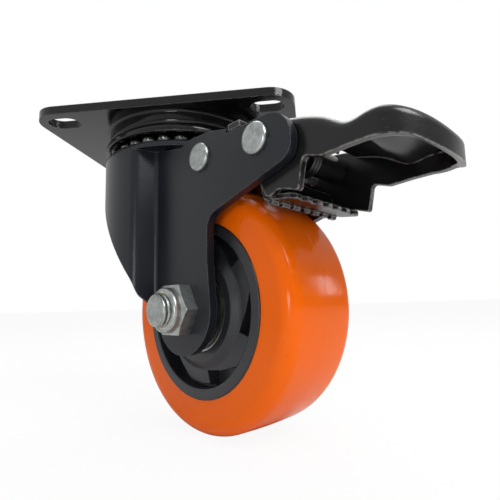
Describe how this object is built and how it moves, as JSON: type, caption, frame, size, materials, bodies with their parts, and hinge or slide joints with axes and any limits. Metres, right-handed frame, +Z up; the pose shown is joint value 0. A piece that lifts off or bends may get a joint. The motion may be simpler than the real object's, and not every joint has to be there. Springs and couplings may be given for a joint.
{
  "type": "swivel castor with brake",
  "caption": "Plate-mounted swivel castor with a polyurethane-tread wheel on ball bearings and a foot pedal that brakes the wheel and locks the swivel.",
  "frame": {"origin": "centre of the mounting plate's top face, on the swivel axis", "axes": "+Z up out of the plate's top face, +X along the plate's long side; the fork trails towards +X and -Y at 37.2 degrees"},
  "size_m": [0.1297, 0.1004, 0.1063],
  "materials": {
    "black_coat": "semi-gloss",
    "zinc": "satin",
    "bearing_steel": "polished",
    "tread": "gloss",
    "core_plastic": "satin",
    "seal_rubber": "matte",
    "insert_plastic": "satin"
  },
  "bodies": {
    "plate": {"top_plate": "black_coat", "upper_race": "black_coat", "kingpin": "black_coat", "lower_race": "black_coat", "lock_ring": "black_coat"},
    "upper_ball_set": {"upper_balls": "bearing_steel"},
    "lower_ball_set": {"lower_balls": "bearing_steel"},
    "fork_body": {"fork": "black_coat", "axle_bolt": "zinc", "lock_nut": "zinc", "lock_nut_insert": "insert_plastic", "axle_bushes": "zinc", "axle_sleeve": "zinc", "bearing_inner_rings": "bearing_steel", "pedal_pivot_rivet": "zinc", "pivot_sleeve": "black_coat", "spacer_rivet": "zinc", "spacer_tube": "black_coat", "return_spring": "bearing_steel"},
    "wheel": {"tyre": "tread", "wheel_core": "core_plastic", "bearing_outer_rings": "bearing_steel", "bearing_seals": "seal_rubber"},
    "wheel_ball_set": {"bearing_balls": "bearing_steel"},
    "pedal": {"brake_pedal": "black_coat", "brake_shoe": "black_coat", "drive_pin": "zinc"},
    "lock_lever": {"swivel_lock_lever": "black_coat"}
  },
  "joints": [
    {"name": "swivel", "type": "hinge", "parent": "plate", "child": "fork_body", "pos_m": [0, 0, -0.0132], "axis": [0, 0, 1], "continuous": true},
    {"name": "upper_balls_turn", "type": "hinge", "parent": "plate", "child": "upper_ball_set", "pos_m": [0, 0, -0.01135], "axis": [0, 0, 1], "continuous": true},
    {"name": "lower_balls_turn", "type": "hinge", "parent": "plate", "child": "lower_ball_set", "pos_m": [0, 0, -0.01705], "axis": [0, 0, 1], "continuous": true},
    {"name": "wheel_spin", "type": "hinge", "parent": "fork_body", "child": "wheel", "pos_m": [0.02127, -0.01614, -0.0684], "axis": [0.6046, 0.7965, 0], "continuous": true},
    {"name": "wheel_balls_turn", "type": "hinge", "parent": "fork_body", "child": "wheel_ball_set", "pos_m": [0.02127, -0.01614, -0.0684], "axis": [0.6046, 0.7965, 0], "continuous": true},
    {"name": "pedal_press", "type": "hinge", "parent": "fork_body", "child": "pedal", "pos_m": [0.04723, -0.03585, -0.0261], "axis": [0.6046, 0.7965, 0], "range_deg": [0, 17], "deforming": ["return_spring"]},
    {"name": "lock_lever_rock", "type": "hinge", "parent": "fork_body", "child": "lock_lever", "pos_m": [0.02899, -0.02201, -0.0244], "axis": [0.6046, 0.7965, 0], "range_deg": [-10.2, 0]}
  ],
  "couplings": [
    {"joint": "upper_balls_turn", "follows": "swivel", "ratio": 0.5},
    {"joint": "lower_balls_turn", "follows": "swivel", "ratio": 0.5},
    {"joint": "wheel_balls_turn", "follows": "wheel_spin", "ratio": 0.4},
    {"joint": "lock_lever_rock", "follows": "pedal_press", "ratio": -0.6}
  ]
}
